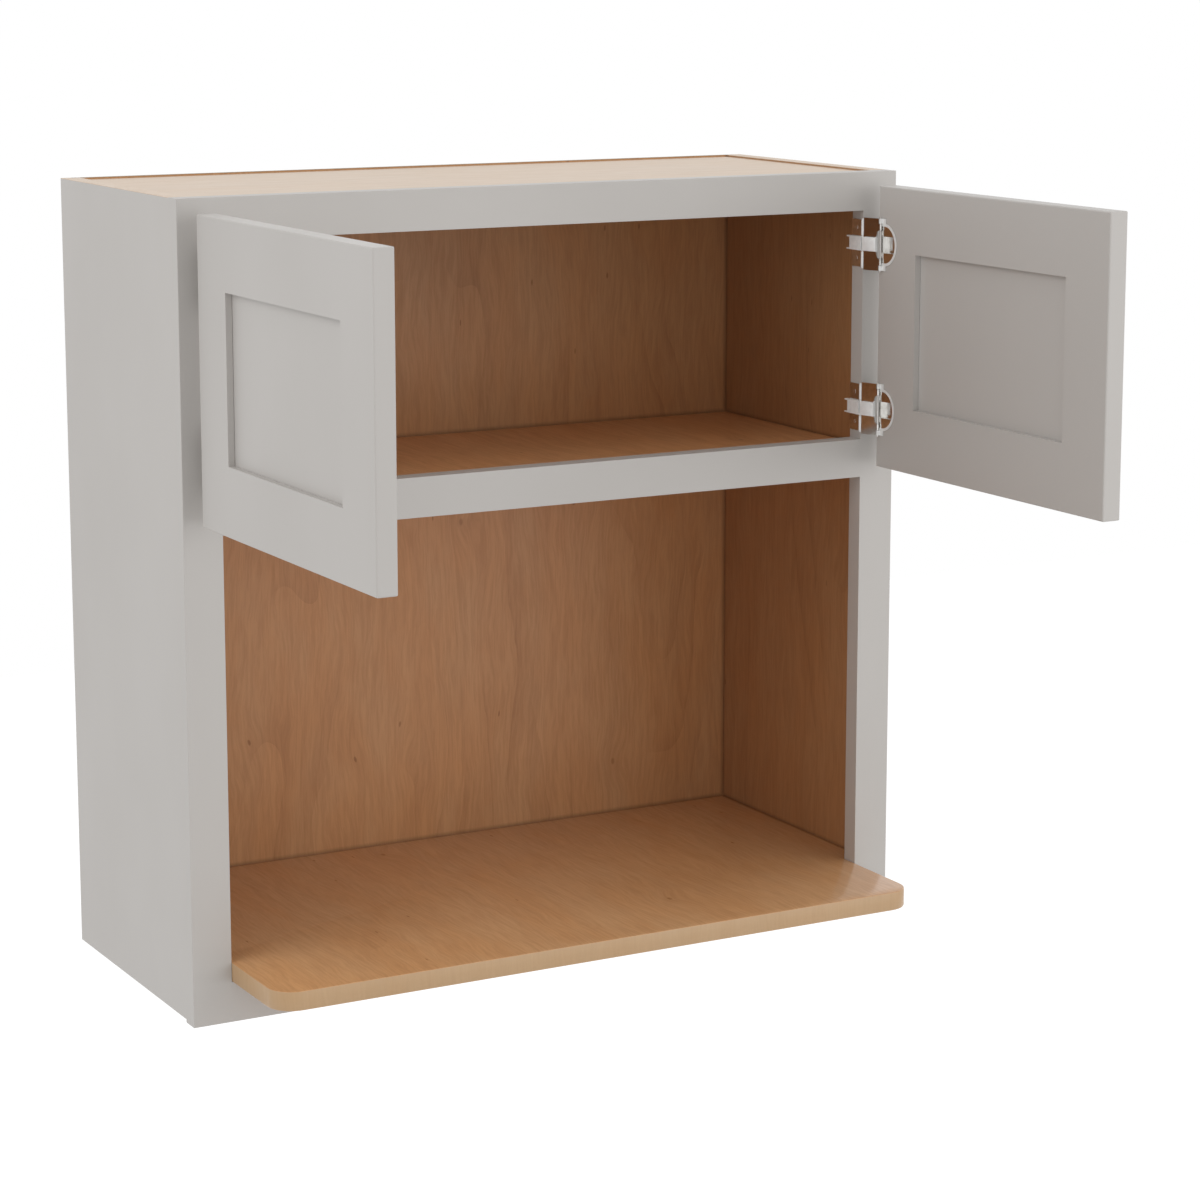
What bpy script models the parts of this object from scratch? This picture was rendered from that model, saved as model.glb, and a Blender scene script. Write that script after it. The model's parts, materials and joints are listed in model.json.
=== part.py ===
"""Microwave wall cabinet with a face frame, two framed doors and an open niche over a long shelf.

Metres, +Z up. The origin is the middle of the back panel's rear face, which lies on the wall.
+X runs to the viewer's right and +Y into the wall, so the doors face -Y. The doors stand open.
"""

import math

import bmesh
import bpy
from mathutils import Vector

# Case
WIDTH = 0.762
HEIGHT = 0.762
DEPTH = 0.300
SIDE_THICKNESS = 0.018
SIDE_LIFT = 0.003
TOP_THICKNESS = 0.0127
TOP_RECESS = 0.0018
DECK_THICKNESS = 0.0127
DECK_DROP = 0.0098
BACK_THICKNESS = 0.0048
DADO_DEPTH = 0.006
BACK_LAP = 0.008

# Face frame
FRAME_THICKNESS = 0.019
STILE_WIDTH = 0.0381
RAIL_HEIGHT = 0.0381
UPPER_OPENING_HEIGHT = 0.2286
TENON_LENGTH = 0.012
TENON_THICKNESS = 0.0064
TENON_SHOULDER = 0.006
FRAME_EASE = 0.0005

# Microwave shelf
SHELF_THICKNESS = 0.0185
SHELF_REACH = 0.1075
SHELF_CORNER_RADIUS = 0.025
SHELF_EASE = 0.0012
SHELF_CORNER_STEPS = 10

# Doors
DOOR_THICKNESS = 0.01905
DOOR_HEIGHT = 0.2794
DOOR_TOP_REVEAL = 0.0127
DOOR_SIDE_REVEAL = 0.012
DOOR_MEETING_GAP = 0.003
DOOR_GAP = 0.004
DOOR_FRAME_WIDTH = 0.0635
DOOR_PANEL_THICKNESS = 0.0064
GROOVE_DEPTH = 0.010
PANEL_FLOAT = 0.0015
DOOR_EASE = 0.0012

# Where an open door stands: its inner face from the case's side, its hinge edge from the face frame
OPEN_INNER_FACE = 0.03085
OPEN_HINGE_EDGE = 0.01725

# Hinges
HINGE_END_GAP = 0.0088
LEAF_HEIGHT = 0.047
LEAF_DEPTH = 0.0178
SHEET = 0.0012
KNUCKLE_RADIUS = 0.0015
KNUCKLE_FRONT_GAP = 0.0002
FRAME_PIN_RADIUS = 0.0007
DOOR_KNUCKLE_RADIUS = 0.0013
DOOR_PIN_RADIUS = 0.0006
PIN_HEAD_HEIGHT = 0.0008
PIN_HEAD_LIP = 0.0002
ARM_HEIGHT = 0.0136
ARM_RISE = 0.0036
ARM_PRONG_REACH = 0.0222
ARM_WEB_REACH = 0.0172
ARM_LIP = 0.0009
ARM_SHORT = 0.0033
TONGUE_HEIGHT = 0.0156
LINK_HEIGHT = 0.0516
LINK_LOBE_TOP = 0.0204
LINK_LOBE_FOOT = 0.0145
LINK_NOTCH = 0.0065
CUP_RADIUS = 0.0195
CUP_RIM = 0.0015
CUP_DEPTH = 0.0045
CUP_CENTRE = 0.010
CUP_CHORD = 0.0069
CUP_FLANGE = 0.0005
CUP_STEPS = 20
TAB_HEIGHT = 0.005
TAB_REACH = 0.0066
TAB_HEEL = 0.0016

# Clearances
FIT = 0.0003
RUNNING_GAP = 0.0004
ROUND_SIDES = 16
OVERCUT = 0.002
INSET = 0.0001
WELD = 0.00001
FLAT_ANGLE = math.radians(0.5)

# Places that follow from the sizes
LEFT = -WIDTH / 2
TOP = HEIGHT / 2
BOTTOM = -HEIGHT / 2
FRONT = -DEPTH
FRAME_BACK = FRONT + FRAME_THICKNESS
CASE_FRONT = FRAME_BACK + FIT
CASE_BACK = -BACK_THICKNESS - FIT
INNER_HALF_WIDTH = WIDTH / 2 - SIDE_THICKNESS
OPENING_HALF_WIDTH = WIDTH / 2 - STILE_WIDTH
MID_RAIL_TOP = TOP - RAIL_HEIGHT - UPPER_OPENING_HEIGHT
OPENING_MIDDLE = MID_RAIL_TOP + UPPER_OPENING_HEIGHT / 2
SHELF_BOTTOM = BOTTOM + RAIL_HEIGHT + FIT
DECK_TOP = MID_RAIL_TOP - DECK_DROP
DOOR_WIDTH = (WIDTH - 2 * DOOR_SIDE_REVEAL - DOOR_MEETING_GAP) / 2
DOOR_MIDDLE = TOP - DOOR_TOP_REVEAL - DOOR_HEIGHT / 2

# Each hinge's leaf stops short of the rails, and its other pieces follow it
HINGE_SPREAD = UPPER_OPENING_HEIGHT / 2 - HINGE_END_GAP - LEAF_HEIGHT / 2
HINGE_HEIGHTS = {"upper": OPENING_MIDDLE + HINGE_SPREAD, "lower": OPENING_MIDDLE - HINGE_SPREAD}

# The frame pin stands in the opening just ahead of the frame, in a closed door's gap
FRAME_PIN_IN = STILE_WIDTH + FIT + KNUCKLE_RADIUS
FRAME_PIN_OUT = KNUCKLE_RADIUS + KNUCKLE_FRONT_GAP
# The door pin stands off the door's inner face so that a closed link lies flat in that gap
PIN_STANDOFF = DOOR_GAP - FRAME_PIN_OUT
OPEN_ACROSS = FRAME_PIN_IN - OPEN_INNER_FACE - PIN_STANDOFF
OPEN_AHEAD = OPEN_HINGE_EDGE - FRAME_PIN_OUT
CLOSED_ACROSS = FRAME_PIN_IN - DOOR_SIDE_REVEAL
# The inset from the hinge edge that lets one link reach both the open and the closed door
PIN_INSET = (CLOSED_ACROSS**2 - OPEN_ACROSS**2 - OPEN_AHEAD**2) / (2 * (OPEN_AHEAD + CLOSED_ACROSS))
LINK_LENGTH = CLOSED_ACROSS - PIN_INSET
LINK_OPEN_ANGLE = math.atan2(OPEN_AHEAD + PIN_INSET, OPEN_ACROSS)
DOOR_OPEN_ANGLE = math.radians(90)

# Finishes: colour, roughness, metallic
PAINT = ((0.48, 0.46, 0.43), 0.45, 0.0)
MAPLE = ((0.42, 0.26, 0.14), 0.40, 0.0)
RAW_PANEL = ((0.72, 0.62, 0.50), 0.55, 0.0)
CHROME = ((0.80, 0.80, 0.80), 0.12, 1.0)

PARTS = "microwave_wall_cabinet"
CUTTERS = "cutters"
UPRIGHT = True


def clear_scene():
    for old in list(bpy.data.objects):
        bpy.data.objects.remove(old, do_unlink=True)


def group(name):
    """The named collection, linked to the scene when it is new."""
    found = bpy.data.collections.get(name)
    if found is None:
        found = bpy.data.collections.new(name)
        bpy.context.scene.collection.children.link(found)
    return found


def place(name, mesh, centre, parent=None):
    item = bpy.data.objects.new(name, mesh)
    item.location = centre
    item.parent = parent
    group(PARTS).objects.link(item)
    return item


def axis_empty(name, location, angle, parent=None):
    """An empty on a hinge pin, turned about Z."""
    empty = bpy.data.objects.new(name, None)
    empty.location = location
    empty.rotation_euler = (0, 0, angle)
    empty.parent = parent
    group(PARTS).objects.link(empty)
    return empty


def block(name, x, y, z, parent=None):
    """A box between the two limits given along each axis."""
    limits = [sorted(pair) for pair in (x, y, z)]
    centre = Vector([(low + high) / 2 for low, high in limits])
    shape = bmesh.new()
    bmesh.ops.create_cube(shape, size=1)
    bmesh.ops.scale(shape, vec=[high - low for low, high in limits], verts=shape.verts)
    mesh = bpy.data.meshes.new(name)
    shape.to_mesh(mesh)
    shape.free()
    return place(name, mesh, centre, parent)


def rod(name, radius, x, y, z, parent=None):
    """A round bar along Z at x, y, between the two limits of z."""
    shape = bmesh.new()
    bmesh.ops.create_cone(
        shape, cap_ends=True, segments=ROUND_SIDES, radius1=radius, radius2=radius, depth=abs(z[1] - z[0])
    )
    mesh = bpy.data.meshes.new(name)
    shape.to_mesh(mesh)
    shape.free()
    mesh.shade_smooth()
    mesh.set_sharp_from_angle(angle=math.radians(40))
    return place(name, mesh, (x, y, (z[0] + z[1]) / 2), parent)


def outline_plate(name, points, thickness, centre, parent=None, upright=False):
    """A flat outline in X and Y given a thickness along Z, or in X and Z along Y when upright."""
    curve = bpy.data.curves.new(name, "CURVE")
    curve.dimensions = "2D"
    curve.fill_mode = "BOTH"
    curve.extrude = thickness / 2
    spline = curve.splines.new("POLY")
    spline.points.add(len(points) - 1)
    for target, (x, y) in zip(spline.points, points):
        target.co = (x, y, 0, 1)
    spline.use_cyclic_u = True
    guide = bpy.data.objects.new(name + "_outline", curve)
    group(CUTTERS).objects.link(guide)
    evaluated = guide.evaluated_get(bpy.context.evaluated_depsgraph_get())
    mesh = bpy.data.meshes.new_from_object(evaluated)
    bpy.data.objects.remove(guide)
    shape = bmesh.new()
    shape.from_mesh(mesh)
    bmesh.ops.remove_doubles(shape, verts=shape.verts, dist=WELD)
    bmesh.ops.recalc_face_normals(shape, faces=shape.faces)
    shape.normal_update()
    caps = [edge for edge in shape.edges if edge.is_manifold and edge.calc_face_angle() < FLAT_ANGLE]
    bmesh.ops.dissolve_edges(shape, edges=caps, use_verts=False)
    shape.to_mesh(mesh)
    shape.free()
    plate = place(name, mesh, centre, parent)
    if upright:
        plate.rotation_euler = (math.radians(90), 0, 0)
    return plate


def boolean(target, tool, operation):
    group(PARTS).objects.unlink(tool)
    group(CUTTERS).objects.link(tool)
    tool.hide_render = True
    tool.display_type = "WIRE"
    step = target.modifiers.new(tool.name, "BOOLEAN")
    step.operation = operation
    step.solver = "EXACT"
    step.object = tool


def cut(target, *tools):
    for tool in tools:
        boolean(target, tool, "DIFFERENCE")


def fuse(target, *tools):
    for tool in tools:
        boolean(target, tool, "UNION")


def ease(item, width, chosen):
    """Rounds the edges whose middle, seen from the piece's own centre, is chosen."""
    mesh = item.data
    weights = mesh.attributes.new("bevel_weight_edge", "FLOAT", "EDGE")
    for edge in mesh.edges:
        first, second = (mesh.vertices[index].co for index in edge.vertices)
        weights.data[edge.index].value = float(chosen((first + second) / 2))
    bevel = item.modifiers.new("Ease", "BEVEL")
    bevel.limit_method = "WEIGHT"
    bevel.width = width
    bevel.segments = 2


def finish(item, look):
    colour, roughness, metallic = look
    material = bpy.data.materials.new(item.name)
    material.use_nodes = True
    shader = material.node_tree.nodes["Principled BSDF"]
    shader.inputs["Base Color"].default_value = (*colour, 1)
    shader.inputs["Roughness"].default_value = roughness
    shader.inputs["Metallic"].default_value = metallic
    material.diffuse_color = (*colour, 1)
    item.data.materials.append(material)
    return item


def arc(centre_x, centre_y, radius, start, end, steps):
    """Points along an arc, with the angles in degrees."""
    angles = [math.radians(start + (end - start) * step / steps) for step in range(steps + 1)]
    return [(centre_x + radius * math.cos(a), centre_y + radius * math.sin(a)) for a in angles]


def build_side(name, side):
    """A side panel, grooved for the deck and the shelf and stepped at the rear for the back panel."""
    outer, inner = side * WIDTH / 2, side * INNER_HALF_WIDTH
    panel = block(name, (outer, inner), (CASE_FRONT, 0), (BOTTOM + SIDE_LIFT, TOP))
    ease(panel, FRAME_EASE, lambda middle: middle.x * side > 0 and middle.y > 0)
    groove_x = (side * (INNER_HALF_WIDTH + DADO_DEPTH), side * (INNER_HALF_WIDTH - OVERCUT))
    groove_y = (CASE_FRONT - OVERCUT, OVERCUT)
    for label, low, thickness in (
        ("deck", DECK_TOP - DECK_THICKNESS, DECK_THICKNESS),
        ("shelf", SHELF_BOTTOM, SHELF_THICKNESS),
    ):
        cut(panel, block(f"{name}_{label}_dado", groove_x, groove_y, (low - FIT, low + thickness + FIT)))
    step_x = (side * (INNER_HALF_WIDTH + BACK_LAP), side * (INNER_HALF_WIDTH - OVERCUT))
    step_z = (BOTTOM - OVERCUT, TOP + OVERCUT)
    cut(panel, block(name + "_back_step", step_x, (CASE_BACK, OVERCUT), step_z))
    return finish(panel, PAINT)


def build_case():
    build_side("left_side", -1)
    build_side("right_side", 1)
    back_half = INNER_HALF_WIDTH + BACK_LAP - FIT
    back = block("back_panel", (-back_half, back_half), (-BACK_THICKNESS, 0), (BOTTOM + SIDE_LIFT, TOP))
    finish(back, MAPLE)
    top_half = INNER_HALF_WIDTH - FIT
    top_z = (TOP - TOP_RECESS - TOP_THICKNESS, TOP - TOP_RECESS)
    finish(block("top_panel", (-top_half, top_half), (CASE_FRONT, CASE_BACK), top_z), RAW_PANEL)
    deck_half = INNER_HALF_WIDTH + DADO_DEPTH - FIT
    deck_z = (DECK_TOP - DECK_THICKNESS, DECK_TOP)
    finish(block("upper_deck", (-deck_half, deck_half), (CASE_FRONT, CASE_BACK), deck_z), MAPLE)


def build_shelf():
    """One board, grooved into the sides, narrowed to pass the stiles and reaching out in front."""
    inside = INNER_HALF_WIDTH + DADO_DEPTH - FIT
    outside = OPENING_HALF_WIDTH - FIT
    nose = FRONT - SHELF_REACH
    root = CASE_FRONT + SHELF_CORNER_RADIUS
    round_y = nose + SHELF_CORNER_RADIUS
    round_x = outside - SHELF_CORNER_RADIUS
    points = [(outside, root), (-outside, root)]
    points += arc(-round_x, round_y, SHELF_CORNER_RADIUS, 180, 270, SHELF_CORNER_STEPS)
    points += arc(round_x, round_y, SHELF_CORNER_RADIUS, 270, 360, SHELF_CORNER_STEPS)
    middle = SHELF_BOTTOM + SHELF_THICKNESS / 2
    shelf = outline_plate("microwave_shelf", points, SHELF_THICKNESS, (0, 0, middle))
    ease(shelf, SHELF_EASE, lambda edge: abs(edge.z) > SHELF_THICKNESS / 4)
    board_z = (SHELF_BOTTOM, SHELF_BOTTOM + SHELF_THICKNESS)
    fuse(shelf, block("microwave_shelf_board", (-inside, inside), (CASE_FRONT, CASE_BACK), board_z))
    finish(shelf, MAPLE)


def build_frame_rail(name, top):
    """A rail between the stiles, with a short tenon at each end."""
    half = OPENING_HALF_WIDTH - FIT
    bottom = top - RAIL_HEIGHT
    rail = block(name, (-half, half), (FRONT, FRAME_BACK), (bottom, top))
    middle = (FRONT + FRAME_BACK) / 2
    reach = OPENING_HALF_WIDTH + TENON_LENGTH
    tenon_y = (middle - TENON_THICKNESS / 2, middle + TENON_THICKNESS / 2)
    tenon_z = (bottom + TENON_SHOULDER, top - TENON_SHOULDER)
    fuse(rail, block(name + "_tenons", (-reach, reach), tenon_y, tenon_z))
    return finish(rail, PAINT)


def build_face_frame():
    rail_tops = {
        "frame_top_rail": TOP,
        "frame_middle_rail": MID_RAIL_TOP,
        "frame_bottom_rail": BOTTOM + RAIL_HEIGHT,
    }
    for name, top in rail_tops.items():
        build_frame_rail(name, top)
    middle = (FRONT + FRAME_BACK) / 2
    slot_y = (middle - TENON_THICKNESS / 2 - FIT, middle + TENON_THICKNESS / 2 + FIT)
    for label, side in (("left", -1), ("right", 1)):
        name = f"frame_{label}_stile"
        stile_x = (side * WIDTH / 2, side * OPENING_HALF_WIDTH)
        stile = block(name, stile_x, (FRONT, FRAME_BACK), (BOTTOM, TOP))
        ease(stile, FRAME_EASE, lambda edge, side=side: edge.x * side > 0 and edge.y < 0)
        slot_x = (side * (OPENING_HALF_WIDTH - OVERCUT), side * (OPENING_HALF_WIDTH + TENON_LENGTH + FIT))
        for rail, top in rail_tops.items():
            slot_z = (top - RAIL_HEIGHT + TENON_SHOULDER - FIT, top - TENON_SHOULDER + FIT)
            cut(stile, block(f"{name}_{rail}_mortise", slot_x, slot_y, slot_z))
        finish(stile, PAINT)


def half_moon(radius, side):
    """Outline of a cup's bore from the cup's centre, with its chord towards the door's edge."""
    chord = CUP_CHORD - CUP_CENTRE - (radius - CUP_RADIUS)
    reach = math.degrees(math.acos(chord / radius))
    return [(side * x, z) for x, z in arc(0, 0, radius, -reach, reach, CUP_STEPS)]


def flange_outline(grow, side):
    """Outline of a cup's flange from the cup's centre: the rim's arc, the two tabs and the chord."""
    radius = CUP_RADIUS + CUP_RIM + grow
    pin = PIN_INSET - CUP_CENTRE
    tab_far, tab_near = pin + TAB_REACH + grow, pin - TAB_HEEL - grow
    tab_top = LINK_HEIGHT / 2 + grow
    tab_foot = LINK_HEIGHT / 2 - TAB_HEIGHT - grow
    chord = CUP_CHORD - CUP_CENTRE - CUP_RIM - grow
    reach = math.degrees(math.acos(tab_far / radius))
    upper = [(tab_far, tab_top), (tab_near, tab_top), (tab_near, tab_foot), (chord, tab_foot)]
    lower = [(x, -z) for x, z in reversed(upper)]
    return [(side * x, z) for x, z in arc(0, 0, radius, -reach, reach, CUP_STEPS) + upper + lower]


def build_door(label, side, axis):
    """A framed door in its closed place about the door pin, which the axis empty then swings open."""
    edge = -PIN_INSET
    far = edge + DOOR_WIDTH
    inner = -PIN_STANDOFF
    outer = inner - DOOR_THICKNESS
    core = (inner + outer) / 2
    half = DOOR_HEIGHT / 2
    groove_y = (core - DOOR_PANEL_THICKNESS / 2 - FIT, core + DOOR_PANEL_THICKNESS / 2 + FIT)
    panel_y = (core - DOOR_PANEL_THICKNESS / 2, core + DOOR_PANEL_THICKNESS / 2)

    def across(low, high):
        return (side * low, side * high)

    stiles = {"hinge": (edge, edge + DOOR_FRAME_WIDTH, 1), "meeting": (far, far - DOOR_FRAME_WIDTH, -1)}
    for role, (outside, inside, inward) in stiles.items():
        name = f"{label}_door_{role}_stile"
        stile = block(name, across(outside, inside), (outer, inner), (-half, half), axis)
        outer_sign = -inward * side
        ease(stile, DOOR_EASE, lambda mid, sign=outer_sign: mid.x * sign > 0 or (mid.x == 0 and mid.z != 0))
        groove_x = across(inside - inward * GROOVE_DEPTH, inside + inward * OVERCUT)
        cut(stile, block(name + "_groove", groove_x, groove_y, (-half - OVERCUT, half + OVERCUT), axis))
        finish(stile, PAINT)
        if role == "hinge":
            for place_name, height in HINGE_HEIGHTS.items():
                cut_hinge_pocket(f"{name}_{place_name}", stile, side, height - DOOR_MIDDLE, axis)

    rail_x = (edge + DOOR_FRAME_WIDTH + FIT, far - DOOR_FRAME_WIDTH - FIT)
    tongue_x = across(rail_x[0] - GROOVE_DEPTH + 2 * FIT, rail_x[1] + GROOVE_DEPTH - 2 * FIT)
    for role, sign in (("top", 1), ("bottom", -1)):
        name = f"{label}_door_{role}_rail"
        inside = sign * (half - DOOR_FRAME_WIDTH)
        rail = block(name, across(*rail_x), (outer, inner), (inside, sign * half), axis)
        ease(rail, DOOR_EASE, lambda mid, sign=sign: mid.z * sign > 0 and mid.x == 0)
        tongue_z = (inside + sign * (GROOVE_DEPTH + FIT), sign * (half - INSET))
        fuse(rail, block(name + "_tongues", tongue_x, panel_y, tongue_z, axis))
        groove_z = (inside - sign * OVERCUT, inside + sign * GROOVE_DEPTH)
        groove_x = across(rail_x[0] - OVERCUT, rail_x[1] + OVERCUT)
        cut(rail, block(name + "_groove", groove_x, groove_y, groove_z, axis))
        finish(rail, PAINT)

    panel_edge = GROOVE_DEPTH - PANEL_FLOAT
    panel_x = across(edge + DOOR_FRAME_WIDTH - panel_edge, far - DOOR_FRAME_WIDTH + panel_edge)
    panel_half = half - DOOR_FRAME_WIDTH + panel_edge
    finish(block(f"{label}_door_panel", panel_x, panel_y, (-panel_half, panel_half), axis), PAINT)


def cut_hinge_pocket(label, stile, side, height, axis):
    """The deep half-moon bore of a cup and the shallow seat of its flange."""
    centre_x = side * (CUP_CENTRE - PIN_INSET)
    pockets = (
        ("bore", half_moon(CUP_RADIUS + FIT, side), CUP_DEPTH + FIT),
        ("seat", flange_outline(FIT, side), FIT),
    )
    for part, outline, depth in pockets:
        centre = (centre_x, -PIN_STANDOFF + (OVERCUT - depth) / 2, height)
        cut(stile, outline_plate(f"{label}_{part}", outline, depth + OVERCUT, centre, axis, UPRIGHT))


def build_cup(name, side, height, axis):
    """The cup in the door: a half-moon shell under a flange, whose two tabs carry the door pin."""
    centre_x = side * (CUP_CENTRE - PIN_INSET)
    face = -PIN_STANDOFF

    def layer(label, outline, low, high):
        centre = (centre_x, (low + high) / 2, height)
        return outline_plate(label, outline, high - low, centre, axis, UPRIGHT)

    cup = layer(name, flange_outline(0, side), face, face + CUP_FLANGE)
    fuse(cup, layer(name + "_shell", half_moon(CUP_RADIUS, side), face - CUP_DEPTH, face + CUP_FLANGE / 2))
    lug = arc(0, 0, DOOR_KNUCKLE_RADIUS, 0, 180, ROUND_SIDES // 2)
    lug += [(-DOOR_KNUCKLE_RADIUS, face + CUP_FLANGE / 2), (DOOR_KNUCKLE_RADIUS, face + CUP_FLANGE / 2)]
    lug_height = TAB_HEIGHT - 2 * INSET
    for end, sign in (("high", 1), ("low", -1)):
        middle = height + sign * (LINK_HEIGHT - TAB_HEIGHT) / 2
        fuse(cup, outline_plate(f"{name}_lug_{end}", lug, lug_height, (0, 0, middle), axis))
    hollow = half_moon(CUP_RADIUS - SHEET, side)
    reach = (height - LINK_HEIGHT, height + LINK_HEIGHT)
    cut(
        cup,
        layer(name + "_hollow", hollow, face - CUP_DEPTH + SHEET, face + OVERCUT),
        rod(name + "_bore", DOOR_PIN_RADIUS + FIT, 0, 0, reach, axis),
    )
    return finish(cup, CHROME)


def build_link(name, side, height, axis):
    """The wing between the two pins, in its closed place: a notched plate with a raised arm."""
    end = LINK_LENGTH
    clear = KNUCKLE_RADIUS + RUNNING_GAP
    free_end = end - DOOR_KNUCKLE_RADIUS - RUNNING_GAP
    arm_half = ARM_HEIGHT / 2
    tongue_half = TONGUE_HEIGHT / 2
    half = LINK_HEIGHT / 2
    upper = [
        (0, tongue_half),
        (clear, tongue_half),
        (clear, half),
        (free_end, half),
        (free_end, LINK_LOBE_TOP),
        (end, LINK_LOBE_TOP),
        (end, LINK_LOBE_FOOT),
        (end - LINK_NOTCH / 2, LINK_LOBE_FOOT - LINK_NOTCH / 4),
        (end - LINK_NOTCH * 2 / 3, arm_half + LINK_NOTCH / 4),
        (end - LINK_NOTCH, arm_half - SHEET / 2),
    ]
    outline = upper + [(s, -z) for s, z in reversed(upper)]
    points = [(-side * s, z) for s, z in outline]
    link = outline_plate(name, points, SHEET, (0, 0, height), axis, UPRIGHT)
    arm_x = [-side * s for s in (clear + SHEET / 2, end - ARM_SHORT)]
    arm_z = (height - arm_half, height + arm_half)
    arm = block(name + "_arm", arm_x, (0, -SHEET / 2 - ARM_RISE), arm_z, axis)
    ease(arm, SHEET / 2, lambda middle: middle.y < 0)
    fuse(link, arm)
    tongue = (height - tongue_half + INSET, height + tongue_half - INSET)
    fuse(link, rod(name + "_tongue_knuckle", KNUCKLE_RADIUS, 0, 0, tongue, axis))
    for label, sign in (("high", 1), ("low", -1)):
        lobe = sorted(height + sign * z for z in (LINK_LOBE_FOOT + INSET, LINK_LOBE_TOP - INSET))
        fuse(link, rod(f"{name}_lobe_knuckle_{label}", DOOR_KNUCKLE_RADIUS, -side * end, 0, lobe, axis))
    reach = (height - LINK_HEIGHT, height + LINK_HEIGHT)
    cut(
        link,
        rod(name + "_frame_bore", FRAME_PIN_RADIUS + FIT, 0, 0, reach, axis),
        rod(name + "_door_bore", DOOR_PIN_RADIUS + FIT, -side * end, 0, reach, axis),
    )
    return finish(link, CHROME)


def build_leaf(name, side, height):
    """The fixed leaf on the stile's inner edge, curled round the frame pin, with a forked channel on it."""
    seat = OPENING_HALF_WIDTH - FIT
    face = seat - SHEET
    web = face - ARM_RISE
    pin_x = WIDTH / 2 - FRAME_PIN_IN
    pin_y = FRONT - FRAME_PIN_OUT
    clearance = KNUCKLE_RADIUS + RUNNING_GAP
    meet = math.degrees(math.acos((face - pin_x) / KNUCKLE_RADIUS))
    curl = arc(pin_x, pin_y, KNUCKLE_RADIUS, meet, 360, ROUND_SIDES)
    profile = curl + [(seat, FRONT + LEAF_DEPTH), (face, FRONT + LEAF_DEPTH)]
    leaf = outline_plate(name, [(side * x, y) for x, y in profile], LEAF_HEIGHT, (0, 0, height))

    arm_half = ARM_HEIGHT / 2
    inner_half = arm_half - SHEET
    foot = face + SHEET / 2
    upper = [(foot, inner_half), (foot, arm_half), (web, arm_half)]
    lower = [(x, -z) for x, z in reversed(upper)]
    channel = upper + lower + [(web + SHEET, -inner_half), (web + SHEET, inner_half)]
    channel_y = (pin_y - ARM_LIP, FRONT + ARM_PRONG_REACH)
    centre = (0, sum(channel_y) / 2, height)
    points = [(side * x, z) for x, z in channel]
    fuse(leaf, outline_plate(name + "_channel", points, channel_y[1] - channel_y[0], centre, None, UPRIGHT))

    fork_half = inner_half - INSET
    tongue_half = TONGUE_HEIGHT / 2 + RUNNING_GAP
    fork_x = (side * foot, side * (web - OVERCUT))
    fork_y = (FRONT + ARM_WEB_REACH, FRONT + ARM_PRONG_REACH + OVERCUT)
    gap_x = (side * (seat + OVERCUT), side * (web + SHEET - INSET))
    gap_y = (pin_y - ARM_LIP - OVERCUT, pin_y + clearance)
    reach = (height - LEAF_HEIGHT, height + LEAF_HEIGHT)
    cut(
        leaf,
        block(name + "_fork", fork_x, fork_y, (height - fork_half, height + fork_half)),
        block(name + "_tongue_gap", gap_x, gap_y, (height - tongue_half, height + tongue_half)),
        rod(name + "_bore", FRAME_PIN_RADIUS + FIT, side * pin_x, pin_y, reach),
    )
    return finish(leaf, CHROME)


def build_pin(name, radius, x, y, middle, length, parent=None):
    """A pin with a head over each end of its knuckles."""
    half = length / 2 + FIT
    shank = half + PIN_HEAD_HEIGHT / 2
    pin = rod(name, radius, x, y, (middle - shank, middle + shank), parent)
    head_radius = radius + FIT + PIN_HEAD_LIP
    for sign in (1, -1):
        head = sorted((middle + sign * half, middle + sign * (half + PIN_HEAD_HEIGHT)))
        label = f"{name}_head_{'high' if sign > 0 else 'low'}"
        fuse(pin, rod(label, head_radius, x, y, head, parent))
    return finish(pin, CHROME)


def build_doors_and_hinges():
    for label, side in (("left", 1), ("right", -1)):
        pin_x = side * (LEFT + FRAME_PIN_IN)
        pin_y = FRONT - FRAME_PIN_OUT
        link_axis = axis_empty(f"{label}_link_axis", (pin_x, pin_y, DOOR_MIDDLE), side * LINK_OPEN_ANGLE)
        swing = -side * (DOOR_OPEN_ANGLE + LINK_OPEN_ANGLE)
        door_axis = axis_empty(f"{label}_door_axis", (-side * LINK_LENGTH, 0, 0), swing, link_axis)
        build_door(label, side, door_axis)
        for place_name, height in HINGE_HEIGHTS.items():
            name = f"{label}_{place_name}_hinge"
            on_door = height - DOOR_MIDDLE
            build_leaf(name + "_leaf", -side, height)
            build_pin(name + "_frame_pin", FRAME_PIN_RADIUS, pin_x, pin_y, height, LEAF_HEIGHT)
            build_link(name + "_link", side, on_door, link_axis)
            build_cup(name + "_cup", side, on_door, door_axis)
            build_pin(name + "_door_pin", DOOR_PIN_RADIUS, 0, 0, on_door, LINK_HEIGHT, door_axis)


def main():
    clear_scene()
    build_case()
    build_face_frame()
    build_shelf()
    build_doors_and_hinges()
    bpy.context.view_layer.update()


main()
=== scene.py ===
"""Looks for the microwave wall cabinet: grey paint outside, clear maple inside, plated wing hinges.

Metres, in the cabinet's own frame: +X to the viewer's right, +Y into the wall, +Z up.
"""

import json
import math

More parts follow.
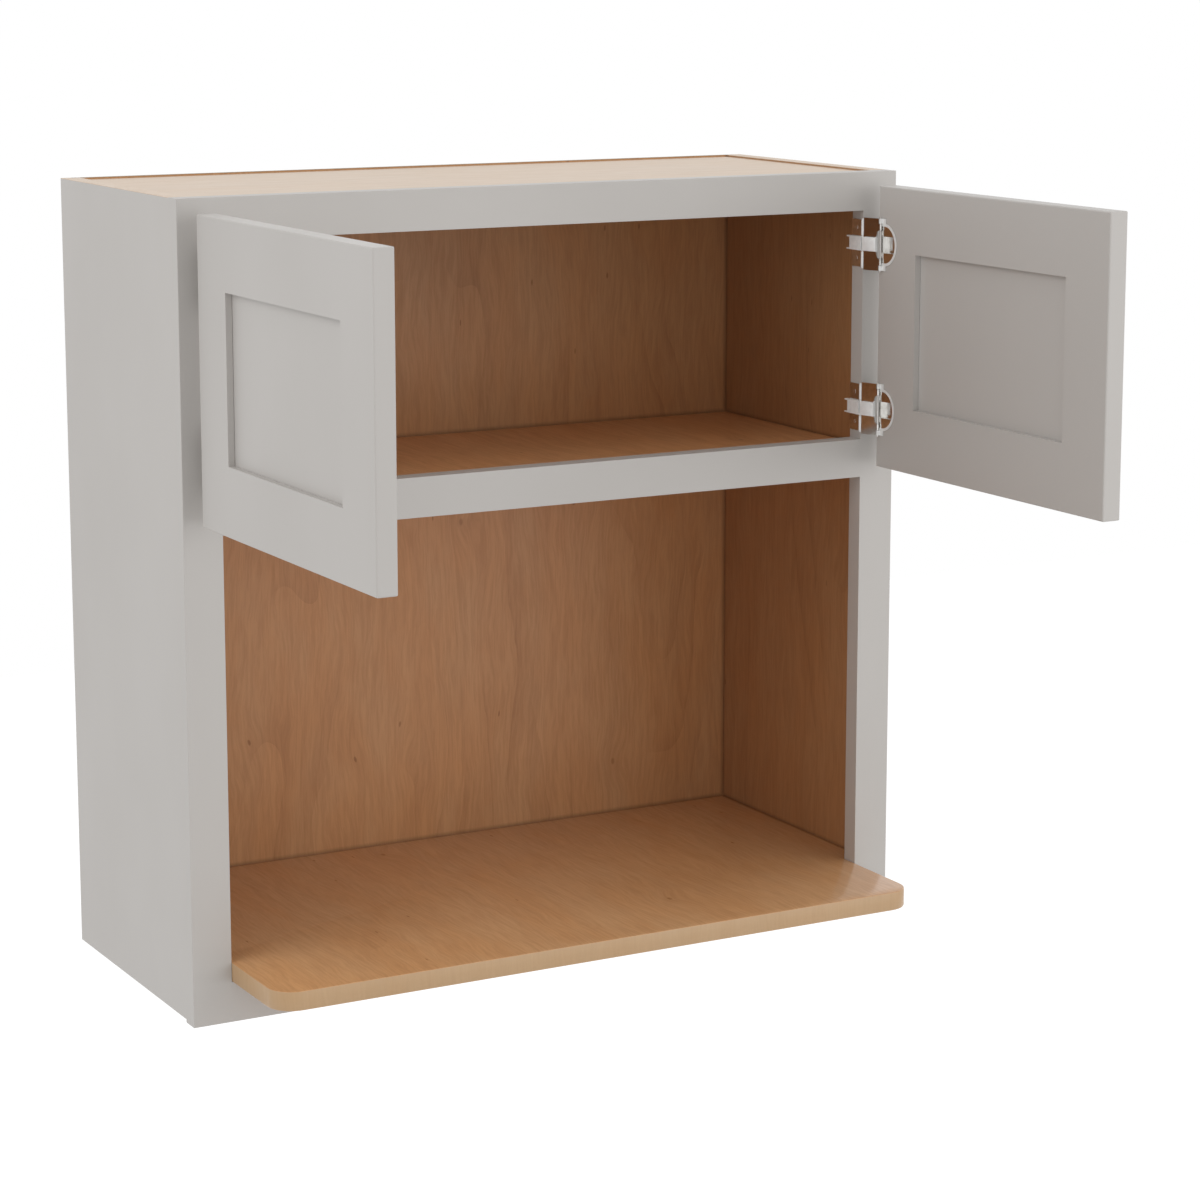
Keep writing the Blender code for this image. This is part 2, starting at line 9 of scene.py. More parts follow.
import bmesh
import bpy
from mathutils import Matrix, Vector


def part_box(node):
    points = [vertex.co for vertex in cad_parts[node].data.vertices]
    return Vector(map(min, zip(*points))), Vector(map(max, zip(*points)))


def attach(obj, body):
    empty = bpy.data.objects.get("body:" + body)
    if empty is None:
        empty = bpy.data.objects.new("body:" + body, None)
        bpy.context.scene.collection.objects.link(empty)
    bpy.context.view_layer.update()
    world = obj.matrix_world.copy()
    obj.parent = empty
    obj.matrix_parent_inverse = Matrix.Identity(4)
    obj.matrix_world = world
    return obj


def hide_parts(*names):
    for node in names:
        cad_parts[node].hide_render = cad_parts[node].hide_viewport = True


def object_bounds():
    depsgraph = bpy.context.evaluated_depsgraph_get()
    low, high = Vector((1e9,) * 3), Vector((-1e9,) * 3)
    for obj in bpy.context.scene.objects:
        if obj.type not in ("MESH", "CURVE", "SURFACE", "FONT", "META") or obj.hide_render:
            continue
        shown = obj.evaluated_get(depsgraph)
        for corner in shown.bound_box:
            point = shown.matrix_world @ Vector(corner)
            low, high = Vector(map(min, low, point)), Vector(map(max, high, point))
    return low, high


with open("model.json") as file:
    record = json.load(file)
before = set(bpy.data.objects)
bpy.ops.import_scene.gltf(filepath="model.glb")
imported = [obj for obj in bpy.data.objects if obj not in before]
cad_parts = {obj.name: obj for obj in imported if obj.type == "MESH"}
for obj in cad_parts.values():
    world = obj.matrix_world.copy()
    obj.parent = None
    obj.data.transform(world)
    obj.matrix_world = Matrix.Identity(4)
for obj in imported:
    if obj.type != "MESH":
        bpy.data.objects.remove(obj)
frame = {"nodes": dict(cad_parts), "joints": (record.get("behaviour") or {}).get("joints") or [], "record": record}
cad_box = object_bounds()

X, Y, Z = range(3)

# Camera, fitted to the corners of the cabinet in the photograph
CAMERA_PLACE = (-1.4291, -2.9753, 0.5975)
CAMERA_TURN = math.radians(28.86)
CAMERA_TILT = math.radians(9.74)
CAMERA_LENS = 96.95
CAMERA_SENSOR = 36.0
CAMERA_SHIFT = -0.08

# Studio: a wall cabinet hangs about 1.37 m over its floor
HANGING_HEIGHT = 1.37
FLOOR_SIZE = 14.0
FLOOR_SHADE = 0.80
FLOOR_LIFT = 0.50
ROOM_LIGHT = 0.69

# Soft boxes, each with its place, its size and its watts, and the point that all of them face
SOFT_BOXES = {
    "left soft box": ((-2.9, -1.0, 1.7), 2.4, 27.5),
    "right soft box": ((2.4, -3.6, 0.6), 3.6, 49.0),
    "top soft box": ((0.0, -0.8, 3.1), 2.4, 10.0),
}
LIGHTS_FACE = Vector((0, -0.2, 0))

# Finishes, linear colours
PAINT_GREY = (0.508, 0.484, 0.460, 1)
PAINT_SHADE = (0.490, 0.466, 0.441, 1)
MAPLE_PALE = (0.553, 0.301, 0.143, 1)
MAPLE_LINE = (0.292, 0.131, 0.054, 1)
MAPLE_FLAME = (1.00, 0.93, 0.85, 1)
MAPLE_EDGE_PALE = (0.512, 0.333, 0.182, 1)
MAPLE_EDGE_LINE = (0.395, 0.245, 0.120, 1)
RAW_PALE = (0.640, 0.498, 0.374, 1)
RAW_LINE = (0.500, 0.370, 0.245, 1)
PLY_PALE = (0.345, 0.262, 0.178, 1)
PLY_LINE = (0.240, 0.168, 0.102, 1)
# Colour of the painted shade in the inside corners
CORNER_SHADE_BROWN = (0.150, 0.066, 0.026, 1)
NICKEL = (0.800, 0.790, 0.770, 1)
NICKEL_DULL = (0.700, 0.685, 0.660, 1)
ZINC = (0.860, 0.860, 0.850, 1)
ZINC_DULL = (0.790, 0.790, 0.780, 1)

# Veneer tone by sheet, as shares of red, green and blue: partly its own, partly painted light (deck and shelf
# lighter, sides darker)
SIDE_TONE_AND_SHADE = (0.79, 0.79, 0.79)
BACK_TONE = (1.05, 1.065, 1.07)
DECK_TONE_AND_LIGHT = (1.41, 1.41, 1.41)
SHELF_TONE_AND_LIGHT = (1.15, 1.235, 1.29)

# Each sheet shows its own part of the figure
FIGURE_AT = {
    "left side": (-0.7, 0.2, 0.0),
    "right side": (0.7, 0.2, 0.0),
    "side top": (0.0, 0.4, 0.0),
    "back": (0.31, 0.13, 0.0),
    "back rear": (1.7, 0.5, 0.0),
    "back top": (0.0, 0.3, 0.0),
    "deck": (0.9, 0.35, 0.0),
    "shelf": (0.42, 0.18, 0.0),
    "shelf band": (0.0, 0.6, 0.0),
    "top": (0.5, 0.2, 0.0),
    "top underside": (0.15, 0.75, 0.0),
}

# Noise: waves to the metre along the vector's X, Y and Z, detail and roughness
GRAIN_SWAY = ((15.0, 5.0, 15.0), 2.0, 0.5)
GRAIN_RIPPLE = ((70.0, 28.0, 70.0), 2.0, 0.5)
ARCH_FIELD = ((5.2, 1.1, 5.2), 1.5, 0.45)
PAINT_MIST = ((420.0, 420.0, 420.0), 2.0, 0.5)
ORANGE_PEEL = ((900.0, 900.0, 900.0), 1.0, 0.5)
POLISH_LINES = ((400.0, 400.0, 6000.0), 2.0, 0.5)

# Layers: the same, and the levels of the noise between which a layer goes from none to full
ARCH_PATCHES = ((9.0, 3.0, 9.0), 1.0, 0.5, (0.42, 0.66))
FINE_STROKES = ((430.0, 26.0, 120.0), 3.0, 0.65, (0.34, 0.68))
BROAD_STROKES = ((95.0, 8.0, 60.0), 3.0, 0.6, (0.32, 0.68))
FLAMES = ((17.0, 7.0, 17.0), 3.0, 0.55, (0.32, 0.68))
SLOW_TONE = ((3.4, 1.6, 3.4), 2.0, 0.5, (0.30, 0.70))
PAINT_DRIFT = ((6.0, 6.0, 4.0), 3.0, 0.5, (0.25, 0.75))
PLATE_CLOUD = ((180.0, 180.0, 180.0), 3.0, 0.5, (0.30, 0.70))

# Spots in the maple: cells to the metre, the share of cells that hold a spot, and for each of its
# masks the distances from its middle, in cells, between which the mask goes from none to full
KNOTS = ((6.0, 3.4, 6.0), 0.22, (0.018, 0.006), (0.15, 0.0))
FLECKS = ((24.0, 7.0, 24.0), 0.28, (0.030, 0.012))

# How far the maple's grain is pushed aside
SWAY_PUSH = 0.034
RIPPLE_PUSH = 0.006
KNOT_PUSH = 0.010

# How far each part of the figure takes the maple from its pale colour to its line colour
STROKE_DEPTH = 0.36
ARCH_DEPTH = 0.26
TONE_DEPTH = 0.14
HALO_DEPTH = 0.10
KNOT_DEPTH = 0.45
FLECK_DEPTH = 0.60

# Make-up of the figure: fine strokes over broad ones, and arches as the crests of a slow field
FINE_SHARE = 0.66
ARCH_COUNT = 13.0
ARCH_SHARPNESS = 6.0

# Plainer sheets: the shelf's arches and the other woods' flames, as shares of the veneer's
SHELF_ARCHES = 0.35
PLAIN_FLAME = 0.45

# Make-up of the paint film: how much of its shade is mist, and how high its orange peel stands
MIST_SHARE = 0.25
PEEL_HEIGHT = 0.25

# Dullness, and what strokes, drift and cloud add to it. No sheet of maple passes from one side of
# 0.27 to the other, because a denoised render breaks up there
VENEER_DULLNESS = 0.34
SHELF_DULLNESS = 0.17
STROKE_DULLNESS = 0.08
PAINT_DULLNESS = 0.40
DRIFT_DULLNESS = 0.06
NICKEL_DULLNESS = 0.10
ZINC_DULLNESS = 0.38
CLOUD_DULLNESS = 0.08

# Shine: the back panel's is weaker than the other sheets', and the zinc is only partly metallic
BACK_GLOSS = 0.3
ZINC_METALLIC = 0.10

# Bumps, each with its depth and its strength
FINE_BUMP = (0.00004, 0.35)
PLATE_BUMP = (0.000004, 0.2)

# Painted shade: thin dark lines in the inside corners where panels meet
CORNER_SHADE_DEPTH = 0.5
CORNER_SHADE_REACH = 0.005

# Masks stop this far inside a face, so that a face is all of one finish
MASK_MARGIN = 0.0004
SHELF_EDGE_EASE = 0.0006

# Copies of the solids
WELD = 0.00002
FLAT_ANGLE = math.radians(0.5)
SMOOTH_ANGLE = math.radians(32)
JOINT_GAP = 0.001
LEVEL_DIGITS = 6

# Hinges
HINGE_ROWS = ("upper", "lower")
PLATE_SHEET = 0.0012
PLATE_EDGE = 0.0002
PLATE_EDGE_STEPS = 2
PLATE_EDGE_ANGLE = math.radians(40)
ARM_HALF_HEIGHT = 0.0069
ARM_RISE = 0.00065
RIM_RISE = 0.0002
KNUCKLE_REACH = 0.0018
CUP_FLANGE = 0.0005
CUP_BASE = 0.0012
CUP_LIP = 0.0003
CUP_TROUGH = 0.0078
CUP_TROUGH_WALL = 0.0004
CUP_EDGE = 0.00245
CUP_HALF_CHORD = 0.0182
SCREW_FROM_FRONT = 0.010
SCREW_SPREAD = 0.0152
SCREW_HEAD_RADIUS = 0.0025
SCREW_HEAD_RISE = 0.0001
SCREW_HEAD_TAPER = 0.97
SCREW_HEAD_SIDES = 32
SCREW_SLOT_LENGTH = 0.0028
SCREW_SLOT_WIDTH = 0.0006
SCREW_SLOT_DEPTH = 0.00008

BODIES = frame["record"]["behaviour"]["bodies"]
BODY_OF = {node: body for body, nodes in BODIES.items() for node in nodes}
SLOT_OF = {entry["node"]: entry["material_slot"] for entry in frame["record"]["subparts"]}
PIVOT_AT = {joint["name"]: Vector(joint["pos_m"]) for joint in frame["joints"]}

# Sockets of a Mix node, by number: its factor and the two that it mixes, and its result
COLOUR_MIX_INPUTS = (0, 6, 7)
VALUE_MIX_INPUTS = (0, 2, 3)
COLOUR_MIX_OUTPUT = 2
VALUE_MIX_OUTPUT = 0


def lowest_and_highest(node, axis):
    low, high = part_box(node)
    return low[axis], high[axis]


def toned(colour, tone):
    return (*(share * part for share, part in zip(tone, colour)), 1)


# Node helpers
def feed(tree, value, socket):
    """Sets an input to a number or colour, or links another node's output to it."""
    if isinstance(value, bpy.types.NodeSocket):
        tree.links.new(value, socket)
    else:
        socket.default_value = value


def add(tree, kind, inputs=None, **settings):
    made = tree.nodes.new(kind)
    for name, value in settings.items():
        setattr(made, name, value)
    for socket, value in (inputs or {}).items():
        feed(tree, value, made.inputs[socket])
    return made


def maths(tree, operation, first, second=0.0, third=0.0):
    inputs = {0: first, 1: second, 2: third}
    return add(tree, "ShaderNodeMath", inputs, operation=operation).outputs[0]


def vector_maths(tree, operation, first, second):
    inputs = {0: first, 1: second}
    return add(tree, "ShaderNodeVectorMath", inputs, operation=operation).outputs[0]


def between(tree, value, low, high, start=0.0, end=1.0):
    """Value taken smoothly from start to end as it goes from low to high."""
    inputs = {"Value": value, "From Min": low, "From Max": high, "To Min": start, "To Max": end}
    made = add(tree, "ShaderNodeMapRange", inputs, interpolation_type="SMOOTHSTEP")
    return made.outputs["Result"]


def mixed(tree, factor, first, second, blend="MIX"):
    inputs = dict(zip(COLOUR_MIX_INPUTS, (factor, first, second)))
    made = add(tree, "ShaderNodeMix", inputs, data_type="RGBA", blend_type=blend)
    return made.outputs[COLOUR_MIX_OUTPUT]


def mixed_value(tree, factor, first, second):
    inputs = dict(zip(VALUE_MIX_INPUTS, (factor, first, second)))
    return add(tree, "ShaderNodeMix", inputs, data_type="FLOAT").outputs[VALUE_MIX_OUTPUT]


def stretched_noise(tree, vector, waves, detail, roughness):
    """Noise with its own number of waves to the metre along each axis."""
    scaled = vector_maths(tree, "MULTIPLY", vector, waves)
    inputs = {"Vector": scaled, "Scale": 1.0, "Detail": detail, "Roughness": roughness}
    return add(tree, "ShaderNodeTexNoise", inputs).outputs["Fac"]


def layer(tree, vector, waves, detail, roughness, levels):
    """Noise that goes from none to full between two of its levels."""
    return between(tree, stretched_noise(tree, vector, waves, detail, roughness), *levels)


def rare_spots(tree, vector, waves, share, *edges):
    """Spots in that share of the cells of a loose grid, with a mask for each pair of edges."""
    scaled = vector_maths(tree, "MULTIPLY", vector, waves)
    inputs = {"Vector": scaled, "Scale": 1.0, "Randomness": 1.0}
    cells = add(tree, "ShaderNodeTexVoronoi", inputs, voronoi_dimensions="2D").outputs
    lot = add(tree, "ShaderNodeSeparateColor", {0: cells["Color"]}).outputs[0]
    chosen = maths(tree, "LESS_THAN", lot, share)
    masks = [between(tree, cells["Distance"], *edge) for edge in edges]
    return [maths(tree, "MULTIPLY", mask, chosen) for mask in masks]


def new_group(name, kind, inputs, outputs):
    """A node group with named sockets, and its input and output nodes."""
    tree = bpy.data.node_groups.new(name, kind)
    for socket, (socket_kind, value) in inputs.items():
        made = tree.interface.new_socket(socket, in_out="INPUT", socket_type=socket_kind)
        if value is not None:
            made.default_value = value
    for socket, socket_kind in outputs.items():
        tree.interface.new_socket(socket, in_out="OUTPUT", socket_type=socket_kind)
    given = tree.nodes.new("NodeGroupInput").outputs
    return tree, given, tree.nodes.new("NodeGroupOutput").inputs


def use_group(tree, group, inputs):
    made = tree.nodes.new("ShaderNodeGroup")
    made.node_tree = group
    for socket, value in inputs.items():
        feed(tree, value, made.inputs[socket])
    return made.outputs


# Shared effects
LOOK = {"Colour": "NodeSocketColor", "Roughness": "NodeSocketFloat", "Height": "NodeSocketFloat"}


def maple_figure():
    """Clear maple: wandering strokes, faint arches, flame-like patches, pin knots and dark flecks.

    The vector's X runs across the grain and its Y along it.
    """
    tree, given, out = new_group(
        "Maple figure",
        "ShaderNodeTree",
        {
            "Vector": ("NodeSocketVector", None),
            "Pale": ("NodeSocketColor", MAPLE_PALE),
            "Line": ("NodeSocketColor", MAPLE_LINE),
            "Arches": ("NodeSocketFloat", 1.0),
            "Strokes": ("NodeSocketFloat", 1.0),
            "Flame": ("NodeSocketFloat", 1.0),
            "Dullness": ("NodeSocketFloat", VENEER_DULLNESS),
        },
        LOOK,
    )
    vector = given["Vector"]
    knot, halo = rare_spots(tree, vector, *KNOTS)
    sway = stretched_noise(tree, vector, *GRAIN_SWAY)
    ripple = stretched_noise(tree, vector, *GRAIN_RIPPLE)
    aside = maths(tree, "MULTIPLY", ripple, RIPPLE_PUSH)
    aside = maths(tree, "MULTIPLY_ADD", sway, SWAY_PUSH, aside)
    aside = maths(tree, "MULTIPLY_ADD", halo, KNOT_PUSH, aside)
    shift = add(tree, "ShaderNodeCombineXYZ", {0: aside}).outputs[0]
    grain = vector_maths(tree, "ADD", vector, shift)

    field = maths(tree, "MULTIPLY", stretched_noise(tree, grain, *ARCH_FIELD), ARCH_COUNT)
    arches = maths(tree, "POWER", maths(tree, "FRACT", field), ARCH_SHARPNESS)
    arches = maths(tree, "MULTIPLY", arches, layer(tree, vector, *ARCH_PATCHES))
    arches = maths(tree, "MULTIPLY", arches, given["Arches"])

    fine = layer(tree, grain, *FINE_STROKES)
    broad = maths(tree, "MULTIPLY", layer(tree, grain, *BROAD_STROKES), 1 - FINE_SHARE)
    strokes = maths(tree, "MULTIPLY_ADD", fine, FINE_SHARE, broad)
    flame = maths(tree, "MULTIPLY", layer(tree, grain, *FLAMES), given["Flame"])
    tone = layer(tree, vector, *SLOW_TONE)
    [fleck] = rare_spots(tree, grain, *FLECKS)

    depth = maths(tree, "MULTIPLY", given["Strokes"], STROKE_DEPTH)
    depth = maths(tree, "MULTIPLY", strokes, depth)
    depth = maths(tree, "MULTIPLY_ADD", arches, ARCH_DEPTH, depth)
    depth = maths(tree, "MULTIPLY_ADD", tone, TONE_DEPTH, depth)
    depth = maths(tree, "MULTIPLY_ADD", halo, HALO_DEPTH, depth)
    depth = maths(tree, "MULTIPLY_ADD", knot, KNOT_DEPTH, depth)
    depth = maths(tree, "MULTIPLY_ADD", fleck, FLECK_DEPTH, depth)
    depth = maths(tree, "MINIMUM", depth, 1.0)
    pale = mixed(tree, flame, given["Pale"], MAPLE_FLAME, "MULTIPLY")
    dullness = maths(tree, "MULTIPLY_ADD", strokes, STROKE_DULLNESS, given["Dullness"])
    feed(tree, mixed(tree, depth, pale, given["Line"]), out["Colour"])
    feed(tree, dullness, out["Roughness"])
    feed(tree, strokes, out["Height"])
    return tree


def paint_film():
    """Sprayed satin paint: a slow, faint drift of shade and a very fine orange peel."""
    inputs = {"Vector": ("NodeSocketVector", None)}
    tree, given, out = new_group("Paint film", "ShaderNodeTree", inputs, LOOK)
    vector = given["Vector"]
    drift = layer(tree, vector, *PAINT_DRIFT)
    mist = stretched_noise(tree, vector, *PAINT_MIST)
    shade = maths(tree, "MULTIPLY", drift, 1 - MIST_SHARE)
    shade = maths(tree, "MULTIPLY_ADD", mist, MIST_SHARE, shade)
    dullness = maths(tree, "MULTIPLY_ADD", drift, DRIFT_DULLNESS, PAINT_DULLNESS)
    peel = maths(tree, "MULTIPLY", stretched_noise(tree, vector, *ORANGE_PEEL), PEEL_HEIGHT)
    feed(tree, mixed(tree, shade, PAINT_GREY, PAINT_SHADE), out["Colour"])
    feed(tree, dullness, out["Roughness"])
    feed(tree, peel, out["Height"])
    return tree


def plate_sheen():
    """Plated steel: slightly clouded, with hair-fine polishing lines."""
    tree, given, out = new_group(
        "Plate sheen",
        "ShaderNodeTree",
        {
            "Vector": ("NodeSocketVector", None),
            "Bright": ("NodeSocketColor", NICKEL),
            "Dull": ("NodeSocketColor", NICKEL_DULL),
            "Dullness": ("NodeSocketFloat", NICKEL_DULLNESS),
        },
        LOOK,
    )
    vector = given["Vector"]
    cloud = layer(tree, vector, *PLATE_CLOUD)
    dullness = maths(tree, "MULTIPLY_ADD", cloud, CLOUD_DULLNESS, given["Dullness"])
    feed(tree, mixed(tree, cloud, given["Bright"], given["Dull"]), out["Colour"])
    feed(tree, dullness, out["Roughness"])
    feed(tree, stretched_noise(tree, vector, *POLISH_LINES), out["Height"])
    return tree


MAPLE_FIGURE = maple_figure()
PAINT_FILM = paint_film()
PLATE_SHEEN = plate_sheen()


# Materials
def new_material(name):
    material = bpy.data.materials.new(name)
    material.use_nodes = True
    tree = material.node_tree
    position = tree.nodes.new("ShaderNodeTexCoord").outputs["Object"]
    return material, tree, tree.nodes["Principled BSDF"], position


def finish(tree, shader, look, bump=FINE_BUMP):
    """Feeds a look to the shader, with its height as a bump of that depth and strength."""
    depth, strength = bump
    feed(tree, look["Colour"], shader.inputs["Base Color"])
    feed(tree, look["Roughness"], shader.inputs["Roughness"])
    inputs = {"Height": look["Height"], "Distance": depth, "Strength": strength}
    feed(tree, add(tree, "ShaderNodeBump", inputs).outputs["Normal"], shader.inputs["Normal"])


def grain_vector(tree, position, across, along, sheet):
    """Turns a position so that X runs across a sheet's grain and Y along it."""
    split = add(tree, "ShaderNodeSeparateXYZ", {0: position}).outputs
    through = ({"X", "Y", "Z"} - {across, along}).pop()
    inputs = {0: split[across], 1: split[along], 2: split[through]}
    turned = add(tree, "ShaderNodeCombineXYZ", inputs).outputs[0]
    return vector_maths(tree, "ADD", turned, FIGURE_AT[sheet])


# The tone given is partly the sheet's own and partly painted light
def maple(tree, position, across, along, sheet, tone, dullness=VENEER_DULLNESS, arches=1.0):
    inputs = {
        "Vector": grain_vector(tree, position, across, along, sheet),
        "Pale": toned(MAPLE_PALE, tone),
        "Line": toned(MAPLE_LINE, tone),
        "Arches": arches,
        "Dullness": dullness,
    }
    return use_group(tree, MAPLE_FIGURE, inputs)


def other_wood(tree, position, across, along, sheet, pale, line, arches, strokes=1.0):
    inputs = {
        "Vector": grain_vector(tree, position, across, along, sheet),
        "Pale": pale,
        "Line": line,
        "Arches": arches,
        "Strokes": strokes,
        "Flame": PLAIN_FLAME,
    }
    return use_group(tree, MAPLE_FIGURE, inputs)


def step_above(tree, position, axis, level):
    """1 where the position lies past that level along the axis, and else 0."""
    split = add(tree, "ShaderNodeSeparateXYZ", {0: position}).outputs
    return maths(tree, "GREATER_THAN", split[axis], level)


def blend_finishes(tree, factor, first, second):
    colour = mixed(tree, factor, first["Colour"], second["Colour"])
    roughness = mixed_value(tree, factor, first["Roughness"], second["Roughness"])
    height = mixed_value(tree, factor, first["Height"], second["Height"])
    return {"Colour": colour, "Roughness": roughness, "Height": height}


def with_painted_corner_shade(tree, position, look, joints):
    """A look with painted shade: a thin dark line in the corner at each joint, given by an axis and a level."""
    split = add(tree, "ShaderNodeSeparateXYZ", {0: position}).outputs
    line = 0.0
    for axis, level in joints:
        away = maths(tree, "ABSOLUTE", maths(tree, "SUBTRACT", split[axis], level))
        shade = between(tree, away, CORNER_SHADE_REACH, 0.0, 0.0, CORNER_SHADE_DEPTH)
        line = maths(tree, "MAXIMUM", line, shade)
    colour = mixed(tree, line, look["Colour"], CORNER_SHADE_BROWN)
    return {"Colour": colour, "Roughness": look["Roughness"], "Height": look["Height"]}


def joints_in_height():
    """Levels at which the walls and the back meet the shelf, the deck and the top panel."""
    deck_foot, deck_top = lowest_and_highest("upper_deck", Z)
    shelf_top = lowest_and_highest("microwave_shelf", Z)[1]
    ceiling = lowest_and_highest("top_panel", Z)[0]
    return [("Z", level) for level in (shelf_top, deck_foot, deck_top, ceiling)]


def joints_to_walls():
    left_wall = lowest_and_highest("left_side", X)[1]
    right_wall = lowest_and_highest("right_side", X)[0]
    return [("X", left_wall), ("X", right_wall)]


def joint_to_back():
    return [("Y", lowest_and_highest("back_panel", Y)[0])]


def satin_paint():
    material, tree, shader, position = new_material("satin grey paint")
    finish(tree, shader, use_group(tree, PAINT_FILM, {"Vector": position}))
    return material


def painted_side(label, outward):
    """A side panel: paint outside, maple inside, bare ply along its top edge."""
    node = label + "_side"
    material, tree, shader, position = new_material(f"{label} side, painted out and maple in")
    inner = max if outward < 0 else min
    inner_face = inner(lowest_and_highest(node, X))
    top = lowest_and_highest(node, Z)[1]
    film = use_group(tree, PAINT_FILM, {"Vector": position})
    veneer = maple(tree, position, "Y", "Z", label + " side", SIDE_TONE_AND_SHADE)
    veneer = with_painted_corner_shade(tree, position, veneer, joint_to_back() + joints_in_height())
    bare = other_wood(tree, position, "Z", "Y", "side top", RAW_PALE, RAW_LINE, arches=0.2)
    inside = step_above(tree, position, "X", inner_face + outward * MASK_MARGIN)
    if outward > 0:
        inside = maths(tree, "SUBTRACT", 1.0, inside)
    look = blend_finishes(tree, inside, film, veneer)
    on_top = step_above(tree, position, "Z", top - MASK_MARGIN)
    finish(tree, shader, blend_finishes(tree, on_top, look, bare))
    return material


def maple_back():
    """The back panel: maple towards the room, bare veneer towards the wall, ply on its top edge."""
    material, tree, shader, position = new_material("back panel maple")
    shader.inputs["Specular IOR Level"].default_value = BACK_GLOSS
    rear = lowest_and_highest("back_panel", Y)[1]
    top = lowest_and_highest("back_panel", Z)[1]
    veneer = maple(tree, position, "X", "Z", "back", BACK_TONE)
    veneer = with_painted_corner_shade(tree, position, veneer, joints_to_walls() + joints_in_height())
    bare = other_wood(tree, position, "X", "Z", "back rear", RAW_PALE, RAW_LINE, arches=0.8)
    ply = other_wood(tree, position, "Z", "X", "back top", PLY_PALE, PLY_LINE, arches=0.0)
    on_top = step_above(tree, position, "Z", top - MASK_MARGIN)
    behind = step_above(tree, position, "Y", rear - MASK_MARGIN)
    look = blend_finishes(tree, on_top, veneer, ply)
    finish(tree, shader, blend_finishes(tree, behind, look, bare))
    return material


def maple_deck():
    material, tree, shader, position = new_material("upper deck maple")
    veneer = maple(tree, position, "X", "Y", "deck", DECK_TONE_AND_LIGHT)
    veneer = with_painted_corner_shade(tree, position, veneer, joint_to_back() + joints_to_walls())
    finish(tree, shader, veneer)
    return material


def maple_shelf():
    """The microwave shelf: glossy maple faces, and a paler band round its edges."""
    material, tree, shader, position = new_material("microwave shelf maple")
    low, high = lowest_and_highest("microwave_shelf", Z)
    face = maple(tree, position, "X", "Y", "shelf", SHELF_TONE_AND_LIGHT, SHELF_DULLNESS, SHELF_ARCHES)
    face = with_painted_corner_shade(tree, position, face, joint_to_back() + joints_to_walls())
    colours = (MAPLE_EDGE_PALE, MAPLE_EDGE_LINE)
    band = other_wood(tree, position, "X", "Z", "shelf band", *colours, arches=0.0, strokes=0.7)
    over_edge = step_above(tree, position, "Z", high - SHELF_EDGE_EASE)
    under_top = maths(tree, "SUBTRACT", 1.0, over_edge)
    over_foot = step_above(tree, position, "Z", low + SHELF_EDGE_EASE)
    on_edge = maths(tree, "MULTIPLY", under_top, over_foot)
    finish(tree, shader, blend_finishes(tree, on_edge, face, band))
    return material


def bare_top():
    """The top panel: bare pale ply above, maple on its underside."""
    material, tree, shader, position = new_material("top panel bare ply")
    top = lowest_and_highest("top_panel", Z)[1]
    veneer = maple(tree, position, "X", "Y", "top underside", SIDE_TONE_AND_SHADE)
    colours = (RAW_PALE, RAW_LINE)
    bare = other_wood(tree, position, "Y", "X", "top", *colours, arches=0.4, strokes=0.9)
    above = step_above(tree, position, "Z", top - MASK_MARGIN)
    finish(tree, shader, blend_finishes(tree, above, veneer, bare))
    return material


def nickel_plate():
    """Bright plate that mirrors the maple in front of it."""
    material, tree, shader, position = new_material("bright nickel plate")
    shader.inputs["Metallic"].default_value = 1.0
    finish(tree, shader, use_group(tree, PLATE_SHEEN, {"Vector": position}), PLATE_BUMP)
    return material


def zinc_plate():
    """Pale satin plate on the arm, the channel and the rim of the cup."""
    material, tree, shader, position = new_material("satin zinc plate")
    shader.inputs["Metallic"].default_value = ZINC_METALLIC
    inputs = {"Vector": position, "Bright": ZINC, "Dull": ZINC_DULL, "Dullness": ZINC_DULLNESS}
    finish(tree, shader, use_group(tree, PLATE_SHEEN, inputs), PLATE_BUMP)
    return material


# Pieces made from copies of the solids
def merged(node):
    """A solid's faces with its loose triangles joined and its flat faces made whole."""
    solid = frame["nodes"][node].data
    shape = bmesh.new()
    corners = [shape.verts.new(corner.co) for corner in solid.vertices]
    for face in solid.polygons:
        shape.faces.new([corners[i] for i in face.vertices])
    bmesh.ops.remove_doubles(shape, verts=shape.verts, dist=WELD)
    bmesh.ops.dissolve_limit(shape, angle_limit=FLAT_ANGLE, verts=shape.verts, edges=shape.edges)
    return shape


def new_piece(name, shape, materials):
    mesh = bpy.data.meshes.new(name)
    shape.to_mesh(mesh)
    shape.free()
    for material in materials:
        mesh.materials.append(material)
    piece = bpy.data.objects.new(name, mesh)
    bpy.context.scene.collection.objects.link(piece)
    return piece


def stands_for(piece, node):
    """Puts a piece in a solid's place, on the same body, and hides the solid."""
    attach(piece, BODY_OF[node])
    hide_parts(node)


def applied(piece):
    """Makes a piece's modifiers into its plain mesh."""
    graph = bpy.context.evaluated_depsgraph_get()
    plain = bpy.data.meshes.new_from_object(piece.evaluated_get(graph), depsgraph=graph)
    piece.modifiers.clear()
    piece.data = plain


def smooth_rounds(piece):
    piece.data.shade_smooth()
    piece.data.set_sharp_from_angle(angle=SMOOTH_ANGLE)


def levels_of(node, axis):
    corners = frame["nodes"][node].data.vertices
    return {round(corner.co[axis], LEVEL_DIGITS) for corner in corners}


def close_joints(shape, axis, *neighbours):
    """Moves each corner that a joint's gap parts from a neighbour's face onto that face.

    Paint fills such gaps.
    """
    faces = [level for node in neighbours for level in levels_of(node, axis)]
    for corner in shape.verts:
        nearest = min(faces, key=lambda level: abs(level - corner.co[axis]))
        if abs(nearest - corner.co[axis]) < JOINT_GAP:
            corner.co[axis] = nearest


